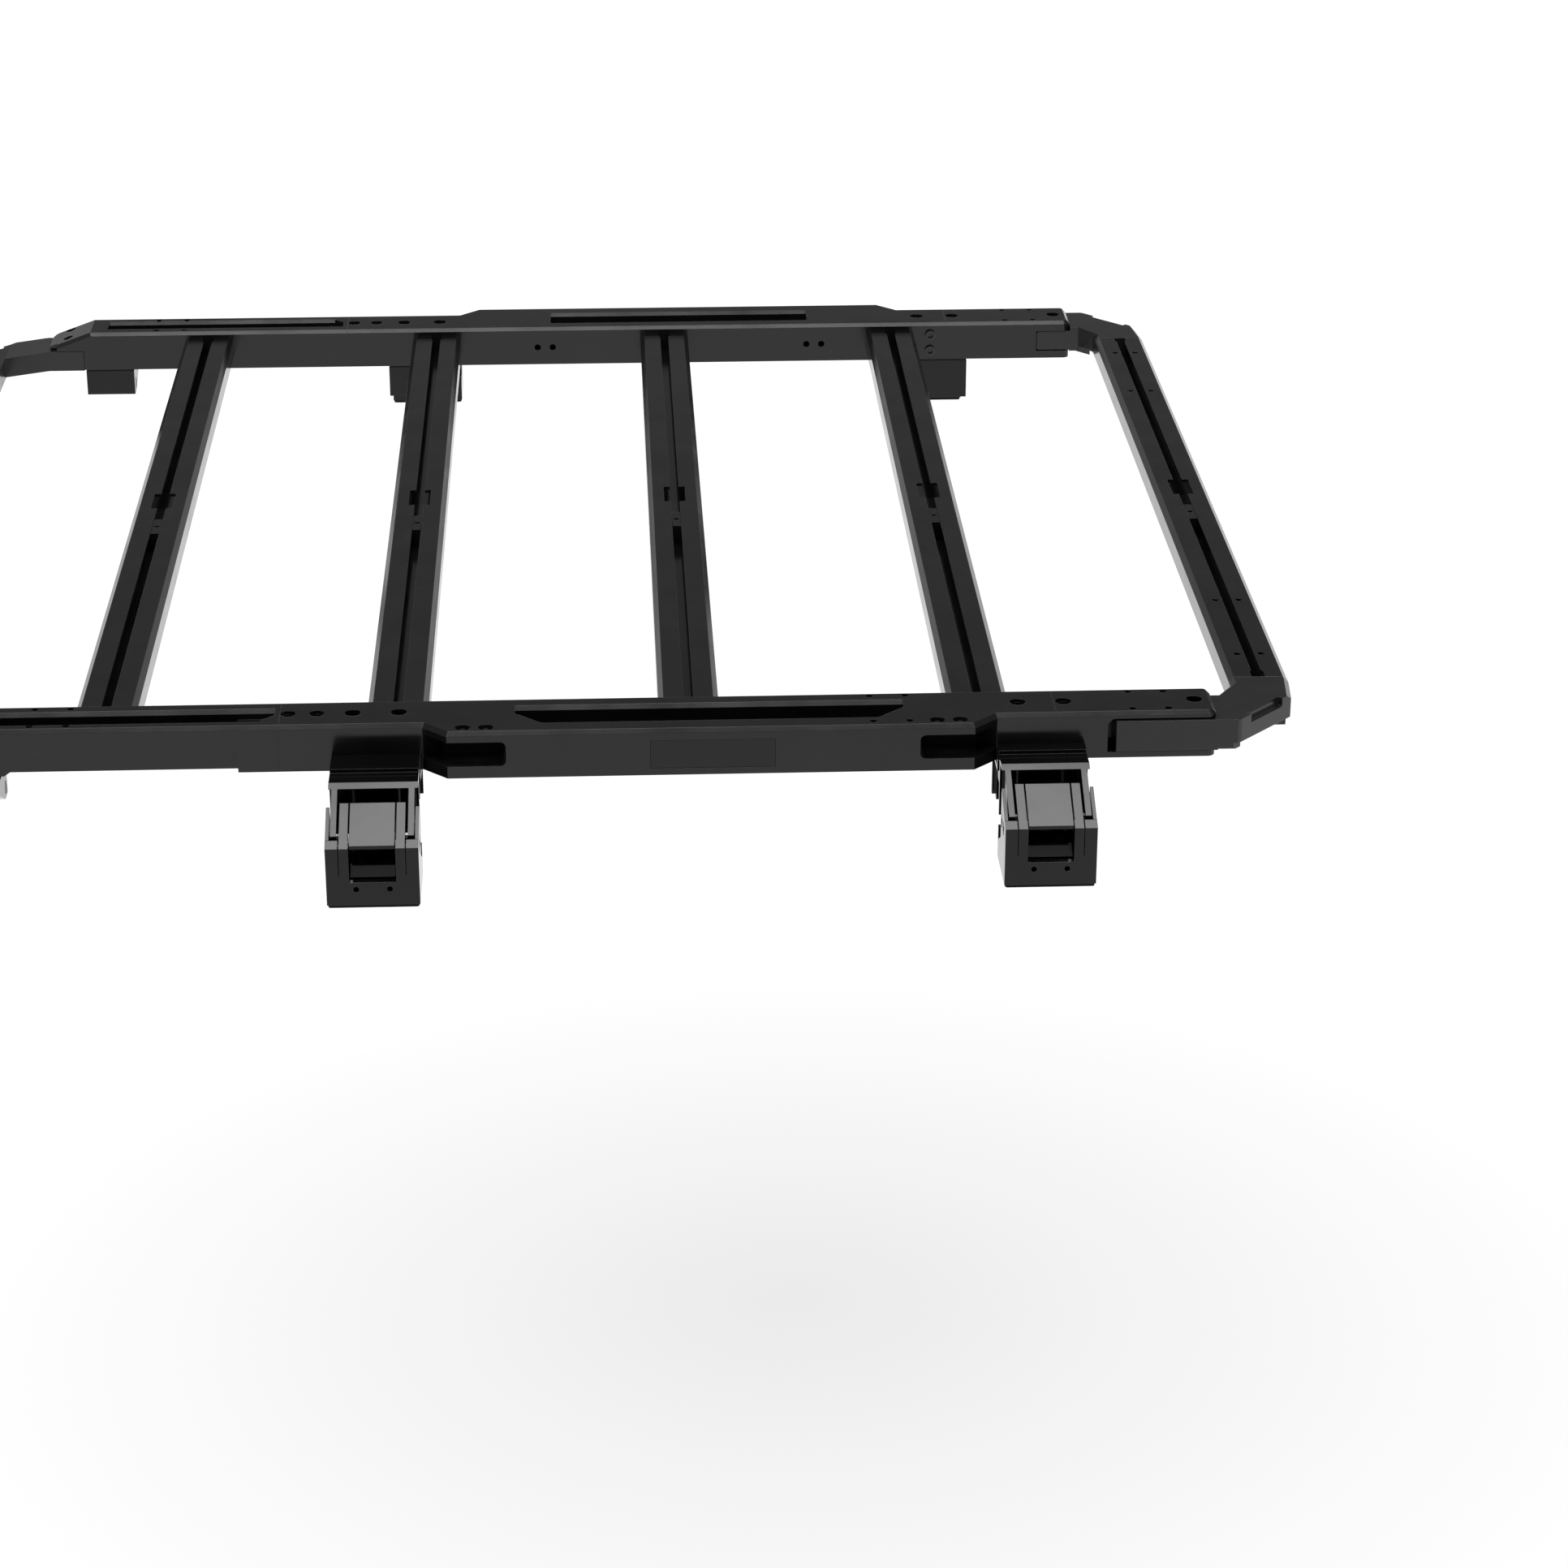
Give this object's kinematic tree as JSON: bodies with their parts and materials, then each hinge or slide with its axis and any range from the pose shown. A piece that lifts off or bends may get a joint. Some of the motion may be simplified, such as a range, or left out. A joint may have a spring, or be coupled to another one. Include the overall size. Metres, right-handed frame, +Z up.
{
  "type": "ladder rack",
  "caption": "Low-profile aluminium ladder rack for a truck: side rails with crossbars, corner castings and height-adjustable clamp feet.",
  "frame": {"origin": "on the ground plane under the middle of the rack: the bottom centre of the bounding box", "axes": "+X towards the rear of the vehicle, +Y towards its right side (the longest extent), +Z up (the shortest extent)"},
  "size_m": [1.495, 1.616, 0.136],
  "materials": {
    "black_coat": "satin black powder coat on aluminium",
    "plate": "blank satin black plate",
    "raw_aluminium": "machined",
    "black_steel": "black oxide steel",
    "zinc_steel": "zinc plated steel",
    "rubber": "matte black rubber"
  },
  "bodies": {
    "rack": {"rail_front_left": "black_coat", "rail_middle_left": "black_coat", "rail_rear_left": "black_coat", "splice_front_left": "raw_aluminium", "splice_rear_left": "raw_aluminium", "name_plate_left": "plate", "rear_corner_left": "black_coat", "front_corner_left": "black_coat", "front_foot_left": "black_coat", "foot_bracket_middle_left": "black_coat", "foot_bracket_rear_left": "black_coat", "rail_front_right": "black_coat", "rail_middle_right": "black_coat", "rail_rear_right": "black_coat", "splice_front_right": "raw_aluminium", "splice_rear_right": "raw_aluminium", "name_plate_right": "plate", "rear_corner_right": "black_coat", "front_corner_right": "black_coat", "front_foot_right": "black_coat", "foot_bracket_middle_right": "black_coat", "foot_bracket_rear_right": "black_coat", "crossbar_front": "black_coat", "crossbar_1": "black_coat", "crossbar_2": "black_coat", "crossbar_3": "black_coat", "crossbar_4": "black_coat", "crossbar_rear": "black_coat", "crossbar_end_plugs": "raw_aluminium", "crossbar_bolts": "black_steel", "splice_screws": "black_steel", "corner_screws": "black_steel", "front_foot_pins": "black_steel", "rail_pads": "rubber", "bracket_bolts": "zinc_steel"},
    "foot_middle_left": {"foot_base_middle_left": "black_coat", "foot_insert_middle_left": "black_coat", "foot_bolts_middle_left": "black_steel", "foot_sole_middle_left": "rubber"},
    "foot_middle_right": {"foot_base_middle_right": "black_coat", "foot_insert_middle_right": "black_coat", "foot_bolts_middle_right": "black_steel", "foot_sole_middle_right": "rubber"},
    "foot_rear_left": {"foot_base_rear_left": "black_coat", "foot_insert_rear_left": "black_coat", "foot_bolts_rear_left": "black_steel", "foot_sole_rear_left": "rubber"},
    "foot_rear_right": {"foot_base_rear_right": "black_coat", "foot_insert_rear_right": "black_coat", "foot_bolts_rear_right": "black_steel", "foot_sole_rear_right": "rubber"},
    "slider_front": {"slot_block_front": "black_coat"},
    "slider_1": {"slot_block_1": "black_coat"},
    "slider_2": {"slot_block_2": "black_coat"},
    "slider_3": {"slot_block_3": "black_coat"},
    "slider_4": {"slot_block_4": "black_coat"},
    "slider_rear": {"slot_block_rear": "black_coat"}
  },
  "joints": [
    {"name": "height_middle_left", "type": "slide", "parent": "rack", "child": "foot_middle_left", "axis": [0, 0, 1], "range_m": [-0.016, 0.004]},
    {"name": "height_middle_right", "type": "slide", "parent": "rack", "child": "foot_middle_right", "axis": [0, 0, 1], "range_m": [-0.016, 0.004]},
    {"name": "height_rear_left", "type": "slide", "parent": "rack", "child": "foot_rear_left", "axis": [0, 0, 1], "range_m": [-0.016, 0.004]},
    {"name": "height_rear_right", "type": "slide", "parent": "rack", "child": "foot_rear_right", "axis": [0, 0, 1], "range_m": [-0.016, 0.004]},
    {"name": "slide_front", "type": "slide", "parent": "rack", "child": "slider_front", "axis": [0, 1, 0], "range_m": [-0.46, 0.035]},
    {"name": "slide_1", "type": "slide", "parent": "rack", "child": "slider_1", "axis": [0, 1, 0], "range_m": [-0.5, 0.035]},
    {"name": "slide_2", "type": "slide", "parent": "rack", "child": "slider_2", "axis": [0, 1, 0], "range_m": [-0.5, 0.035]},
    {"name": "slide_3", "type": "slide", "parent": "rack", "child": "slider_3", "axis": [0, 1, 0], "range_m": [-0.5, 0.035]},
    {"name": "slide_4", "type": "slide", "parent": "rack", "child": "slider_4", "axis": [0, 1, 0], "range_m": [-0.5, 0.035]},
    {"name": "slide_rear", "type": "slide", "parent": "rack", "child": "slider_rear", "axis": [0, 1, 0], "range_m": [-0.46, 0.035]}
  ]
}
